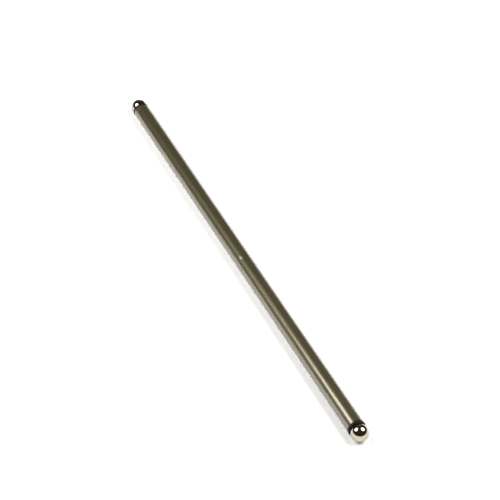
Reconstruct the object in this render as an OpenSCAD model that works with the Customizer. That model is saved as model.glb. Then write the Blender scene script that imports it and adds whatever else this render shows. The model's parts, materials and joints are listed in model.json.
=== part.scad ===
// Engine pushrod: a steel tube with a hardened ball bedded and welded into each mouth.
// The rod lies along X with its middle at the origin, and the lifter end points to -X.

/* [Rod] */
// Overall length, from ball tip to ball tip
overall_length = 254; // [150:0.5:320]
// Outside diameter of the tube
tube_od = 7.94; // [7.4:0.01:8.6]
// Wall of the tube
tube_wall = 1.65; // [1.3:0.05:2.2]

/* [Ball ends] */
// Diameter of the balls
ball_d = 7.94; // [7.2:0.01:9]
// Width of the seat that the ball beds on, from the bore outwards
seat_land = 0.9; // [0.4:0.05:1.1]
// Room left between the ball and its seat
seat_clearance = 0.01; // [0.01:0.005:0.05]

/* [Weld upset] */
// How far the tube swells at the weld, on the radius
upset_rise = 0.15; // [0.05:0.01:0.3]
// Length of tube that swells, back from its end
upset_length = 1.4; // [0.8:0.1:3]
// Rounding of the tube's outer edge at the weld
edge_round = 0.25; // [0.1:0.05:0.4]

/* [Hidden] */
$fn = 96;

TUBE_COLOUR = "#4b4538";
BALL_COLOUR = "#d6d1c4";
UPSET_STEPS = 6;
ROUND_STEPS = 5;

tube_r = tube_od / 2;
bore_r = tube_r - tube_wall;
ball_r = ball_d / 2;
seat_r = bore_r + seat_land;
// The ball's centre stands this far outside the tube's end, where the seat's mouth meets the ball
ball_stand = sqrt(ball_r * ball_r - seat_r * seat_r);
tube_length = overall_length - 2 * (ball_stand + ball_r);
upset_r = tube_r + upset_rise;
upset_start = tube_length / 2 - upset_length;
round_start = tube_length / 2 - edge_round;

// Radius of the swelling tube, a share of the way from the straight shank to the rounded edge
function swell_r(share) = tube_r + upset_rise * (1 - cos(180 * share)) / 2;

// Outer outline of one half of the tube, from the shank to the end face, as [radius, distance along]
function half_outline() = concat(
    [for (i = [0 : UPSET_STEPS])
        let (share = i / UPSET_STEPS)
        [swell_r(share), upset_start + share * (round_start - upset_start)]],
    [for (i = [1 : ROUND_STEPS])
        let (turn = 90 * i / ROUND_STEPS)
        [upset_r - edge_round * (1 - cos(turn)), round_start + edge_round * sin(turn)]]
);

// Turns a solid built about Z so that it lies along X
module along_rod() {
    rotate([0, 90, 0]) children();
}

// A ball at the end given by its sign along X, grown by a clearance
module end_ball(end, grow = 0) {
    translate([end * (tube_length / 2 + ball_stand), 0, 0]) along_rod() sphere(r = ball_r + grow);
}

// Tube with swollen, rounded ends, a plain bore and a spherical seat in each mouth
module pushrod_tube() {
    upper = half_outline();
    lower = [for (i = [len(upper) - 1 : -1 : 0]) [upper[i][0], -upper[i][1]]];
    bore_wall = [[bore_r, tube_length / 2], [bore_r, -tube_length / 2]];
    color(TUBE_COLOUR) difference() {
        along_rod() rotate_extrude() polygon(concat(lower, upper, bore_wall));
        for (end = [-1, 1]) end_ball(end, seat_clearance);
    }
}

// Solid ball that runs in the lifter's cup
module lifter_end_ball() {
    color(BALL_COLOUR) end_ball(-1);
}

// Solid ball that runs in the rocker's cup
module rocker_end_ball() {
    color(BALL_COLOUR) end_ball(1);
}

pushrod_tube();
lifter_end_ball();
rocker_end_ball();
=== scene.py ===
"""An engine pushrod: a black-oxide steel tube with a polished ball welded into each mouth, on white paper."""
import json
import math

import bpy
import numpy as np
from bpy.props import FloatProperty, FloatVectorProperty, PointerProperty
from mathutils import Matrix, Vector


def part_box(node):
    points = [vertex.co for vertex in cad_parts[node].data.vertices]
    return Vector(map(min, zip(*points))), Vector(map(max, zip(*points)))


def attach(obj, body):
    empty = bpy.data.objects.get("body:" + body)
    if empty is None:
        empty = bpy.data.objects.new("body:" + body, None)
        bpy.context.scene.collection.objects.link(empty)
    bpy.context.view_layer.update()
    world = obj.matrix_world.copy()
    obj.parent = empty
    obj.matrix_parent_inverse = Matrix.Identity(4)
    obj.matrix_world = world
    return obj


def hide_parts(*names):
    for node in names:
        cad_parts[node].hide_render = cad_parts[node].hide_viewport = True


bl_info = {
    "name": "Engine pushrod",
    "version": (1, 0, 0),
    "blender": (4, 5, 0),
    "location": "View3D > Sidebar > Pushrod",
    "description": "Builds a ball-ended engine pushrod around its solid model",
    "category": "Object",
}

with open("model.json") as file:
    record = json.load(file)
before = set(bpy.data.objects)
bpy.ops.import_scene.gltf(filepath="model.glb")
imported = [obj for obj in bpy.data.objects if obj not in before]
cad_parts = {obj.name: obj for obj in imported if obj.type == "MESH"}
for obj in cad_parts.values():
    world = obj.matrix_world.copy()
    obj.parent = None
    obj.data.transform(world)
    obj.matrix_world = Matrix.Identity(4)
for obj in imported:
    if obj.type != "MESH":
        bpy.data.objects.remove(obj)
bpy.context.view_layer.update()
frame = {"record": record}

# Units, names and the sizes that the frame gives
MM = 0.001
TUBE_NODE = "pushrod_tube"
BALL_NODES = {"lifter_end_ball": -1, "rocker_end_ball": 1}
TUBE_LOW, TUBE_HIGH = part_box(TUBE_NODE)
BALL_LOW, BALL_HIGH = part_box("rocker_end_ball")
SHANK = next(m["dims"] for m in frame["record"]["mounts"] if m["name"] == "shank")
SHANK_R = SHANK["r_mm"] * MM
SHANK_HALF = SHANK["length_mm"] * MM / 2
END_X = TUBE_HIGH.x
UPSET_R = min(TUBE_HIGH.y, TUBE_HIGH.z)  # the solid's mesh is a little flatter sideways
BALL_R = (BALL_HIGH.x - BALL_LOW.x) / 2
BALL_X = (BALL_HIGH.x + BALL_LOW.x) / 2
FLOOR_Z = TUBE_LOW.z

# Steps of the surfaces
AROUND = 144  # points round the tube, 0.17 mm apart
SHANK_RINGS = 301
SWELL_STEPS = 12
ROUND_STEPS = 8
FACE_STEPS = 4
SEAT_STEPS = 5
BALL_AROUND = 128
BALL_RINGS = 96
SCRAPE_RINGS = 40
SCRAPE_SPAN = (-0.1, 1.2)  # stretch of close rings, in lengths of the scrape

# Form of the scrape
SCRAPE_POINT = 0.05  # width of its pointed end, as a share of its wide end
SCRAPE_FADE = 0.125  # share of its length over which each end fades
SCRAPE_EDGE = 1.5  # steepness of its sides

# Black-oxide tube
LINE_LENGTH = 80 * MM
LINE_PITCH = 0.5 * MM
LINE_DEPTH = 0.002 * MM
LINE_RELIEF = 0.2
BLOTCH_LENGTH = 12 * MM
BLOTCH_WIDTH = 5 * MM
NOISE_LOW, NOISE_HIGH = 0.3, 0.7  # where most of a noise lies
TINT_WAVER = 0.8 * MM
TINT_STOPS = (0.05, 0.45, 0.75)
TINT_FULL = 0.35  # share of the heat at which the tint hides the oxide
FILM_METAL = 0.8
FILM_IOR = 1.9  # dense oxide wetted with oil
FILM_ROUGHNESS = 0.16
DRAWN_ROUGHNESS = (0.34, 0.42)
BURNT_ROUGHER = 0.2
BARED_ROUGHER = 0.3

# Weld scale, nearly black at the end faces as painted shade of the groove by each ball
PATCH_WIDTH = 1.2 * MM
SCALE_START = 0.1 * MM  # from the end of the shank
SCALE_WAVER = 0.6 * MM
# The last stop, blue black, is the painted shade of the groove on the end face.
SCALE_AND_SHADE_STOPS = (0.0, 0.2, 0.45)
SCALE_METAL = 0.6
SCALE_ROUGHNESS = (0.4, 0.6)

# Lapped balls
HAZE_WIDTH = 1.5 * MM
LAPPED_ROUGHNESS = (0.05, 0.12)

# Stage
TABLE_REACH = 8.0
TABLE_STEPS = 9
PAPER_LIT = 0.2  # the paper isn't lifted within this distance of the rod's middle
PAPER_LIFTED = 0.8  # from here on it is lifted to white
LEFT_LAMP = (-0.65, 0.13, 0.74)  # right, ahead and up, as the camera sees them
RIGHT_LAMP = (0.55, 0.13, 0.83)
WALL_RISE = math.radians(20)
WALL_EDGE = math.radians(30)
WALL_CORE = math.radians(10)
IMAGE_SIDE = 500
SENSOR = 36.0
CLIP_NEAR, CLIP_FAR = 0.05, 30.0


def linear(code):
    """An sRGB hex colour as linear red, green and blue with full alpha."""
    parts = [int(code[i:i + 2], 16) / 255 for i in (1, 3, 5)]
    return [p / 12.92 if p <= 0.04045 else ((p + 0.055) / 1.055) ** 2.4 for p in parts] + [1.0]


def length(name, text, default):
    return FloatProperty(name=name, description=text, default=default, unit="LENGTH", precision=5)


def angle(name, text, default):
    return FloatProperty(name=name, description=text, default=math.radians(default), unit="ROTATION")


def power(name, text, default):
    return FloatProperty(name=name, description=text, default=default, unit="POWER")


def number(name, text, default):
    return FloatProperty(name=name, description=text, default=default)


def colour(name, text, code):
    return FloatVectorProperty(name=name, description=text, default=linear(code), size=4, subtype="COLOR",
                               min=0.0, max=1.0)


class PushrodSizes(bpy.types.PropertyGroup):
    """Sizes that the solid model leaves to the finished surface."""

    tube_wall: length("Tube wall", "Wall of the tube, down to its bore", 1.65 * MM)
    edge_round: length("Edge round", "Rounding of the tube's outer edge at the weld", 0.25 * MM)
    scrape_x: length("Scrape place", "Where the scrape starts along the rod", 4.2 * MM)
    scrape_turn: angle("Scrape turn", "Where the scrape lies round the tube, from +Y towards +Z", 117.4)
    scrape_length: length("Scrape length", "Length of the wedge-shaped scrape", 2.7 * MM)
    scrape_width: length("Scrape width", "Width of the scrape at its wide end", 1.2 * MM)
    scrape_depth: length("Scrape depth", "Depth of the scrape at its wide end", 0.08 * MM)
    tint_band: length("Heat tint", "Length of tube that the weld's heat has tinted", 1.7 * MM)


class PushrodFinish(bpy.types.PropertyGroup):
    """Colours of the steel and its oxides."""

    oxide: colour("Oxide", "Olive-brown black oxide on the tube", "#8c8667")
    oxide_dark: colour("Oxide, dark", "Denser oxide in the mottling", "#7c7358")
    bare: colour("Bare steel", "Steel laid bare by a scrape", "#d2d0a8")
    straw: colour("Straw", "First heat tint, furthest from the weld", "#7f6840")
    purple: colour("Purple", "Second heat tint", "#4a3d38")
    # Blue black also serves as painted shade on the end faces, in the groove by each ball.
    blue: colour("Blue black", "Heat tint and scale next to the weld", "#2b2826")
    ball: colour("Ball", "Polished hardened steel", "#c9c2ab")
    ball_haze: colour("Ball, hazed", "The same steel under lapping haze", "#d2ccba")


class PushrodStudio(bpy.types.PropertyGroup):
    """Camera, lamps and table."""

    azimuth: angle("Azimuth", "Turn of the camera round the rod", 65.31)
    elevation: angle("Elevation", "Height of the camera over the table, as an angle", 42.12)
    distance: length("Distance", "Camera to the point it looks at", 869.8 * MM)
    aim_x: length("Aim X", "Point that the camera looks at, along the rod", -0.62 * MM)
    aim_y: length("Aim Y", "Point that the camera looks at, across the rod", 5.97 * MM)
    focal: number("Focal length", "Focal length, in image pixels", 1861.0)
    lamp_size: length("Lamp size", "Diameter of each round softbox", 0.48)
    lamp_distance: length("Lamp distance", "Softbox to the rocker end of the rod", 0.7)
    left_power: power("Left power", "Power of the left softbox", 2.8)
    right_power: power("Right power", "Power of the right softbox", 3.2)
    room: colour("Room", "Dim room above the table", "#352b20")
    room_wall: colour("Room wall", "Olive wall that the room shows beyond the far end", "#5e573a")
    paper: colour("Paper", "White table", "#fafbfd")
    paper_gain: number("Paper gain", "Exposure of the paper past white", 0.7)
    mirror_gain: number("Mirror gain", "The same, where metal mirrors the paper", 0.3)


def add(tree, kind, inputs=None, **settings):
    """Adds a node with its settings. Each input is a value, or an output socket to link from."""
    node = tree.nodes.new(kind)
    for name, value in settings.items():
        setattr(node, name, value)
    for key, value in (inputs or {}).items():
        if isinstance(value, bpy.types.NodeSocket):
            tree.links.new(value, node.inputs[key])
        else:
            node.inputs[key].default_value = value
    return node


def new_material(name):
    material = bpy.data.materials.new(name)
    material.use_nodes = True
    material.node_tree.nodes.clear()
    return material, material.node_tree


def mesh_object(name, points, quads, triangles=()):
    """A smooth mesh object at the origin from arrays of points, four-sided and three-sided faces."""
    mesh = bpy.data.meshes.new(name)
    mesh.from_pydata(points.tolist(), [], np.asarray(quads).tolist() + np.asarray(triangles).tolist())
    mesh.shade_smooth()
    made = bpy.data.objects.new(name, mesh)
    bpy.context.scene.collection.objects.link(made)
    return made


def wrapped_quads(rows, columns, close_rows):
    """Faces of a grid that closes on itself across its columns, and down its rows too if close_rows."""
    row = np.arange(rows if close_rows else rows - 1)[:, None]
    column = np.arange(columns)[None, :]
    after_row, after_column = (row + 1) % rows, (column + 1) % columns
    corners = [row * columns + column, row * columns + after_column,
               after_row * columns + after_column, after_row * columns + column]
    return np.stack(corners, axis=-1).reshape(-1, 4)


def finish_piece(piece, node, slot, *materials):
    for material in materials:
        piece.data.materials.append(material)
    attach(piece, "root")
    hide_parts(node)


def tube_half(sizes):
    """Distance along and radius of one end's outline, from the shank's end to the bore.

    The wall swells by a raised cosine, turns over a quarter circle, runs in along the flat end face, follows
    the ball's sphere as a seat and stops at the bore.
    """
    bore_r = SHANK_R - sizes.tube_wall
    seat_r = math.sqrt(BALL_R ** 2 - (BALL_X - END_X) ** 2)
    round_start = END_X - sizes.edge_round
    share = np.linspace(0, 1, SWELL_STEPS + 1)[1:]
    swell = np.stack([SHANK_HALF + share * (round_start - SHANK_HALF),
                      SHANK_R + (UPSET_R - SHANK_R) * (1 - np.cos(np.pi * share)) / 2])
    turn = np.linspace(0, np.pi / 2, ROUND_STEPS + 1)[1:]
    rounded = np.stack([round_start + sizes.edge_round * np.sin(turn),
                        UPSET_R - sizes.edge_round * (1 - np.cos(turn))])
    face_r = np.linspace(UPSET_R - sizes.edge_round, seat_r, FACE_STEPS + 1)[1:]
    face = np.stack([np.full_like(face_r, END_X), face_r])
    bed_r = np.linspace(seat_r, bore_r, SEAT_STEPS + 1)[1:]
    bed = np.stack([BALL_X - np.sqrt(BALL_R ** 2 - bed_r ** 2), bed_r])
    return np.concatenate([swell, rounded, face, bed], axis=1)


def scrape_mask(sizes, x, turn):
    """Share from 0 to 1 of the scrape at each point, and how far along it lies: a wedge with soft edges.

    The share is 1/2 at the wedge's sides, and falls by SCRAPE_EDGE over each half width outwards.
    """
    along = (x - sizes.scrape_x) / sizes.scrape_length
    aside = np.abs(turn - sizes.scrape_turn) * SHANK_R
    half_width = sizes.scrape_width / 2 * np.clip(along, SCRAPE_POINT, 1)
    from_end = 1 + SCRAPE_FADE - along
    in_length = np.clip(along / SCRAPE_FADE, 0, 1) * np.clip(from_end / SCRAPE_FADE, 0, 1)
    in_width = np.clip(1 / 2 + SCRAPE_EDGE * (1 - aside / half_width), 0, 1)
    return in_length * in_width, np.clip(along, 0, 1)


def make_tube(sizes):
    """The closed outline of the tube's wall, turned round X: (x, r) becomes (x, r cos t, r sin t)."""
    end = tube_half(sizes)
    near_scrape = sizes.scrape_x + sizes.scrape_length * np.linspace(*SCRAPE_SPAN, SCRAPE_RINGS)
    shank_x = np.union1d(np.linspace(-SHANK_HALF, SHANK_HALF, SHANK_RINGS), near_scrape)
    shank = np.stack([shank_x, np.full_like(shank_x, SHANK_R)])
    other_end = end * np.array([[-1.0], [1.0]])
    outline = np.concatenate([shank, end, other_end[:, ::-1]], axis=1)
    x, r = outline[:, :, None]
    turn = np.linspace(0, 2 * np.pi, AROUND, endpoint=False)[None, :]
    scrape, along = scrape_mask(sizes, x, turn)
    r = r - sizes.scrape_depth * scrape * along
    points = np.stack([x + 0 * turn, r * np.cos(turn), r * np.sin(turn)], axis=-1)
    rows = points.shape[0]
    tube = mesh_object("oxide_tube", points.reshape(-1, 3), wrapped_quads(rows, AROUND, True)[:, ::-1])
    # Faces past the shank take the weld scale, which also carries the painted shade of the groove by the
    # ball.
    at_weld = np.abs(x).mean(axis=1) > SHANK_HALF
    on_weld = np.repeat(at_weld & np.roll(at_weld, -1), AROUND)
    tube.data.polygons.foreach_set("material_index", on_weld.astype(np.int32))
    bared = tube.data.attributes.new("bared", "FLOAT", "POINT")
    bared.data.foreach_set("value", scrape.astype(np.float32).ravel())
    return tube


def make_ball(name, end):
    """A sphere whose poles lie on the rod's axis: angle p from the outer pole and turn t round the axis."""
    p = np.linspace(0, np.pi, BALL_RINGS + 2)[1:-1, None]
    t = np.linspace(0, 2 * np.pi, BALL_AROUND, endpoint=False)[None, :]
    x = end * (BALL_X + BALL_R * np.cos(p)) + 0 * t
    ring_r = BALL_R * np.sin(p)
    rings = np.stack([x, ring_r * np.cos(t), ring_r * np.sin(t)], axis=-1).reshape(-1, 3)
    poles = np.array([[end * (BALL_X + BALL_R), 0, 0], [end * (BALL_X - BALL_R), 0, 0]])
    quads = wrapped_quads(BALL_RINGS, BALL_AROUND, False)
    k = np.arange(BALL_AROUND)
    after = (k + 1) % BALL_AROUND
    last = (BALL_RINGS - 1) * BALL_AROUND
    outer = np.stack([np.full_like(k, len(rings)), after, k], axis=-1)
    inner = np.stack([np.full_like(k, len(rings) + 1), last + k, last + after], axis=-1)
    triangles = np.concatenate([outer, inner])
    if end > 0:
        quads, triangles = quads[:, ::-1], triangles[:, ::-1]
    return mesh_object(name, np.concatenate([rings, poles]), quads, triangles)


def wavering_reach(tree, place, noise, waver):
    """Distance from the middle of the rod, pushed outwards by up to waver where the noise is high."""
    split = add(tree, "ShaderNodeSeparateXYZ", {0: place})
    from_middle = add(tree, "ShaderNodeMath", {0: split.outputs["X"]}, operation="ABSOLUTE")
    return add(tree, "ShaderNodeMath", {0: noise, 1: waver, 2: from_middle.outputs[0]},
               operation="MULTIPLY_ADD").outputs[0]


def heat_tints_and_shade(tree, finish, heat, stops):
    """The colours that heat brings out on steel: straw, purple and blue-black at three stops of the heat. On
    the weld scale the blue-black also stands as painted shade of the groove by the ball.
    """
    tints = add(tree, "ShaderNodeValToRGB", {0: heat})
    ramp = tints.color_ramp
    straw_stop, purple_stop, blue_stop = stops
    first, last = ramp.elements
    first.position, first.color = straw_stop, list(finish.straw)
    last.position, last.color = blue_stop, list(finish.blue)
    ramp.elements.new(purple_stop).color = list(finish.purple)
    return tints.outputs[0]


def black_oxide_tube(finish, sizes):
    """Cold-drawn seamless steel tube with a black-oxide film, oiled.

    The film lets part of the steel's shine through, so the tube is dark, olive-brown and half glossy.
    Drawing has left faint lines along it, the film is mottled, and next to the welds heat has tinted it.
    """
    material, tree = new_material("black_oxide_drawn_steel")
    place = add(tree, "ShaderNodeTexCoord").outputs["Object"]
    # Drawing lines: coarser than real ones so that they show.
    line_scale = (1 / LINE_LENGTH, 1 / LINE_PITCH, 1 / LINE_PITCH)
    streaks = add(tree, "ShaderNodeMapping", {"Vector": place, "Scale": line_scale})
    lines = add(tree, "ShaderNodeTexNoise", {"Vector": streaks.outputs[0], "Scale": 1.0, "Detail": 3.0})
    # Mottled oxide, in blotches that run a little along the rod.
    blotch_scale = (1 / BLOTCH_LENGTH, 1 / BLOTCH_WIDTH, 1 / BLOTCH_WIDTH)
    blotch = add(tree, "ShaderNodeMapping", {"Vector": place, "Scale": blotch_scale})
    mottle = add(tree, "ShaderNodeTexNoise", {"Vector": blotch.outputs[0], "Scale": 1.0, "Detail": 5.0,
                                              "Roughness": 0.6})
    film = add(tree, "ShaderNodeMix", {0: mottle.outputs[0], 6: list(finish.oxide_dark),
                                       7: list(finish.oxide)}, data_type="RGBA")
    # Heat of the weld, made uneven by the mottling.
    hottest = END_X + TINT_WAVER / 2
    reach = wavering_reach(tree, place, mottle.outputs[0], TINT_WAVER)
    heat = add(tree, "ShaderNodeMapRange", {"Value": reach, "From Min": hottest - sizes.tint_band,
                                            "From Max": hottest})
    tints = heat_tints_and_shade(tree, finish, heat.outputs[0], TINT_STOPS)
    tinted_share = add(tree, "ShaderNodeMapRange", {"Value": heat.outputs[0], "From Min": 0.0,
                                                    "From Max": TINT_FULL})
    tinted = add(tree, "ShaderNodeMix", {0: tinted_share.outputs[0], 6: film.outputs[2], 7: tints},
                 data_type="RGBA")
    bared = add(tree, "ShaderNodeAttribute", attribute_name="bared").outputs["Fac"]
    skin = add(tree, "ShaderNodeMix", {0: bared, 6: tinted.outputs[2], 7: list(finish.bare)},
               data_type="RGBA")
    smoothest, roughest = DRAWN_ROUGHNESS
    gloss = add(tree, "ShaderNodeMapRange", {"Value": lines.outputs[0], "From Min": NOISE_LOW,
                                             "From Max": NOISE_HIGH, "To Min": smoothest,
                                             "To Max": roughest})
    burnt = add(tree, "ShaderNodeMath", {0: heat.outputs[0], 1: BURNT_ROUGHER, 2: gloss.outputs[0]},
                operation="MULTIPLY_ADD")
    rough = add(tree, "ShaderNodeMath", {0: bared, 1: BARED_ROUGHER, 2: burnt.outputs[0]},
                operation="MULTIPLY_ADD")
    relief = add(tree, "ShaderNodeBump", {"Height": lines.outputs[0], "Strength": LINE_RELIEF,
                                          "Distance": LINE_DEPTH})
    shader = add(tree, "ShaderNodeBsdfPrincipled", {
        "Base Color": skin.outputs[2], "Metallic": FILM_METAL, "Roughness": rough.outputs[0],
        "Normal": relief.outputs[0], "Coat Weight": 1.0, "Coat IOR": FILM_IOR,
        "Coat Roughness": FILM_ROUGHNESS})
    add(tree, "ShaderNodeOutputMaterial", {0: shader.outputs[0]})
    return material


def weld_scale_and_groove_shade(finish):
    """Scale that the weld left on the swollen ends: matte and brown at its edge. It turns nearly black by the
    ball, where the black end face is painted shade of the groove between tube and ball.
    """
    material, tree = new_material("weld_scaled_steel_and_painted_shade")
    place = add(tree, "ShaderNodeTexCoord").outputs["Object"]
    patch = add(tree, "ShaderNodeTexNoise", {"Vector": place, "Scale": 1 / PATCH_WIDTH, "Detail": 4.0})
    reach = wavering_reach(tree, place, patch.outputs[0], SCALE_WAVER)
    # Heat along the end: straw, then purple, then blue black, which on the end face is painted shade of the
    # groove by the ball.
    burnt = add(tree, "ShaderNodeMapRange", {"Value": reach, "From Min": SHANK_HALF + SCALE_START,
                                             "From Max": END_X + SCALE_WAVER / 2})
    tints = heat_tints_and_shade(tree, finish, burnt.outputs[0], SCALE_AND_SHADE_STOPS)
    smoothest, roughest = SCALE_ROUGHNESS
    rough = add(tree, "ShaderNodeMapRange", {"Value": patch.outputs[0], "To Min": smoothest,
                                             "To Max": roughest})
    shader = add(tree, "ShaderNodeBsdfPrincipled", {"Base Color": tints, "Metallic": SCALE_METAL,
                                                    "Roughness": rough.outputs[0]})
    add(tree, "ShaderNodeOutputMaterial", {0: shader.outputs[0]})
    return material


def polished_ball_steel(finish):
    """Hardened bearing steel, ground and lapped: a mirror with a trace of warm tint, hazed in patches."""
    material, tree = new_material("lapped_bearing_steel")
    place = add(tree, "ShaderNodeTexCoord").outputs["Object"]
    haze = add(tree, "ShaderNodeTexNoise", {"Vector": place, "Scale": 1 / HAZE_WIDTH, "Detail": 3.0})
    smoothest, roughest = LAPPED_ROUGHNESS
    gloss = add(tree, "ShaderNodeMapRange", {"Value": haze.outputs[0], "To Min": smoothest,
                                             "To Max": roughest})
    tone = add(tree, "ShaderNodeMix", {0: haze.outputs[0], 6: list(finish.ball),
                                       7: list(finish.ball_haze)}, data_type="RGBA")
    shader = add(tree, "ShaderNodeBsdfPrincipled", {"Base Color": tone.outputs[2], "Metallic": 1.0,
                                                    "Roughness": gloss.outputs[0]})
    add(tree, "ShaderNodeOutputMaterial", {0: shader.outputs[0]})
    return material


def white_paper(studio):
    """Matte white paper, exposed past white for the eye and for reflections, and kept white further out."""
    material, tree = new_material("white_paper")
    place = add(tree, "ShaderNodeTexCoord").outputs["Object"]
    away = add(tree, "ShaderNodeVectorMath", {0: place}, operation="LENGTH")
    lift = add(tree, "ShaderNodeMapRange", {"Value": away.outputs["Value"], "From Min": PAPER_LIT,
                                            "From Max": PAPER_LIFTED})
    path = add(tree, "ShaderNodeLightPath")
    seen = add(tree, "ShaderNodeMath", {0: path.outputs["Is Camera Ray"], 1: path.outputs["Is Glossy Ray"]},
               operation="MAXIMUM")
    seen = add(tree, "ShaderNodeMath", {0: seen.outputs[0], 1: path.outputs["Is Transmission Ray"]},
               operation="MAXIMUM")
    glow = add(tree, "ShaderNodeMath", {0: lift.outputs[0], 1: seen.outputs[0]}, operation="MULTIPLY")
    mirrored = add(tree, "ShaderNodeMath", {0: path.outputs["Is Glossy Ray"], 1: studio.mirror_gain, 2: 1.0},
                   operation="MULTIPLY_ADD")
    exposed = add(tree, "ShaderNodeMath", {0: path.outputs["Is Camera Ray"], 1: studio.paper_gain,
                                           2: mirrored.outputs[0]}, operation="MULTIPLY_ADD")
    tone = add(tree, "ShaderNodeVectorMath", {0: studio.paper[:3], "Scale": exposed.outputs[0]},
               operation="SCALE")
    matte = add(tree, "ShaderNodeBsdfDiffuse", {"Color": tone.outputs[0]})
    shine = add(tree, "ShaderNodeEmission", {"Color": list(studio.paper), "Strength": glow.outputs[0]})
    both = add(tree, "ShaderNodeAddShader", {0: matte.outputs[0], 1: shine.outputs[0]})
    add(tree, "ShaderNodeOutputMaterial", {0: both.outputs[0]})
    return material


def look_axes(studio):
    """The camera's horizontal look direction and its right, and the direction back to the camera."""
    a, e = studio.azimuth, studio.elevation
    ahead = Vector((-math.sin(a), math.cos(a), 0))
    right = Vector((math.cos(a), math.sin(a), 0))
    back = -ahead * math.cos(e) + Vector((0, 0, math.sin(e)))
    return ahead, right, back


def make_table(studio):
    """A flat square of paper under the rod, as a grid in x and y."""
    side = np.linspace(-TABLE_REACH, TABLE_REACH, TABLE_STEPS)
    x, y = np.meshgrid(side, side)
    points = np.stack([x, y, np.full_like(x, FLOOR_Z)], axis=-1).reshape(-1, 3)
    index = np.arange(len(points)).reshape(x.shape)
    corners = [index[:-1, :-1], index[:-1, 1:], index[1:, 1:], index[1:, :-1]]
    sheet = mesh_object("paper_table", points, np.stack(corners, axis=-1).reshape(-1, 4))
    sheet.data.materials.append(white_paper(studio))


def add_softbox(name, shares, lamp_power, studio):
    """A round lamp that faces the rod's middle, set off from the rocker ball by right, ahead and up."""
    ahead, right, _ = look_axes(studio)
    to_right, to_ahead, to_up = shares
    direction = to_right * right + to_ahead * ahead + to_up * Vector((0, 0, 1))
    lamp = bpy.data.lights.new(name, "AREA")
    lamp.shape = "DISK"
    lamp.size = studio.lamp_size
    lamp.energy = lamp_power
    made = bpy.data.objects.new(name, lamp)
    made.location = Vector((BALL_X, 0, 0)) + direction.normalized() * studio.lamp_distance
    made.rotation_euler = made.location.to_track_quat("Z", "Y").to_euler()
    bpy.context.scene.collection.objects.link(made)


def add_camera(studio):
    _, _, back = look_axes(studio)
    data = bpy.data.cameras.new("camera")
    data.sensor_width = SENSOR
    data.lens = studio.focal * SENSOR / IMAGE_SIDE
    data.clip_start, data.clip_end = CLIP_NEAR, CLIP_FAR
    camera = bpy.data.objects.new("camera", data)
    camera.location = Vector((studio.aim_x, studio.aim_y, 0)) + back * studio.distance
    camera.rotation_euler = back.to_track_quat("Z", "Y").to_euler()
    bpy.context.scene.collection.objects.link(camera)
    bpy.context.scene.camera = camera


def add_room(studio):
    """A dim room with a lighter olive wall low down beyond the far end."""
    ahead, _, _ = look_axes(studio)
    wall = (ahead + math.tan(WALL_RISE) * Vector((0, 0, 1))).normalized()
    world = bpy.data.worlds.new("dim_room")
    world.use_nodes = True
    tree = world.node_tree
    tree.nodes.clear()
    way = add(tree, "ShaderNodeTexCoord").outputs["Generated"]
    facing = add(tree, "ShaderNodeVectorMath", {0: way, 1: wall}, operation="DOT_PRODUCT")
    share = add(tree, "ShaderNodeMapRange", {"Value": facing.outputs["Value"],
                                             "From Min": math.cos(WALL_EDGE),
                                             "From Max": math.cos(WALL_CORE)})
    tone = add(tree, "ShaderNodeMix", {0: share.outputs[0], 6: list(studio.room), 7: list(studio.room_wall)},
               data_type="RGBA")
    glow = add(tree, "ShaderNodeBackground", {"Color": tone.outputs[2], "Strength": 1.0})
    add(tree, "ShaderNodeOutputWorld", {0: glow.outputs[0]})
    bpy.context.scene.world = world


class PUSHROD_OT_tube(bpy.types.Operator):
    """Make the black-oxide tube in place of its solid"""

    bl_idname = "pushrod.tube"
    bl_label = "Tube"

    def execute(self, context):
        scene = context.scene
        sizes, finish = scene.pushrod_sizes, scene.pushrod_finish
        tube = make_tube(sizes)
        finish_piece(tube, TUBE_NODE, "tube_steel", black_oxide_tube(finish, sizes), weld_scale_and_groove_shade(finish))
        return {"FINISHED"}


class PUSHROD_OT_balls(bpy.types.Operator):
    """Make the polished balls in place of their solids"""

    bl_idname = "pushrod.balls"
    bl_label = "Ball ends"

    def execute(self, context):
        steel = polished_ball_steel(context.scene.pushrod_finish)
        for node, end in BALL_NODES.items():
            finish_piece(make_ball("polished_" + node, end), node, "ball_steel", steel)
        return {"FINISHED"}


class PUSHROD_OT_stage(bpy.types.Operator):
    """Set the paper table, the softboxes, the dim room and the camera"""

    bl_idname = "pushrod.stage"
    bl_label = "Stage"

    def execute(self, context):
        studio = context.scene.pushrod_studio
        make_table(studio)
        add_softbox("softbox_left", LEFT_LAMP, studio.left_power, studio)
        add_softbox("softbox_right", RIGHT_LAMP, studio.right_power, studio)
        add_room(studio)
        add_camera(studio)
        context.scene.view_settings.view_transform = "Standard"
        return {"FINISHED"}


class PUSHROD_PT_panel(bpy.types.Panel):
    """Lists the pushrod's pieces with their sizes and colours"""

    bl_label = "Pushrod"
    bl_space_type = "VIEW_3D"
    bl_region_type = "UI"
    bl_category = "Pushrod"

    def draw(self, context):
        for operator in OPERATORS:
            self.layout.operator(operator.bl_idname)
        for group in GROUPS:
            for name in GROUPS[group].__annotations__:
                self.layout.prop(getattr(context.scene, group), name)


GROUPS = {"pushrod_sizes": PushrodSizes, "pushrod_finish": PushrodFinish, "pushrod_studio": PushrodStudio}
OPERATORS = (PUSHROD_OT_tube, PUSHROD_OT_balls, PUSHROD_OT_stage)
CLASSES = (*GROUPS.values(), *OPERATORS, PUSHROD_PT_panel)


def register():
    for cls in CLASSES:
        bpy.utils.register_class(cls)
    for group, cls in GROUPS.items():
        setattr(bpy.types.Scene, group, PointerProperty(type=cls))


def unregister():
    for group in GROUPS:
        delattr(bpy.types.Scene, group)
    for cls in reversed(CLASSES):
        bpy.utils.unregister_class(cls)


def main():
    register()
    bpy.ops.pushrod.tube()
    bpy.ops.pushrod.balls()
    bpy.ops.pushrod.stage()


if __name__ == "__main__":
    main()
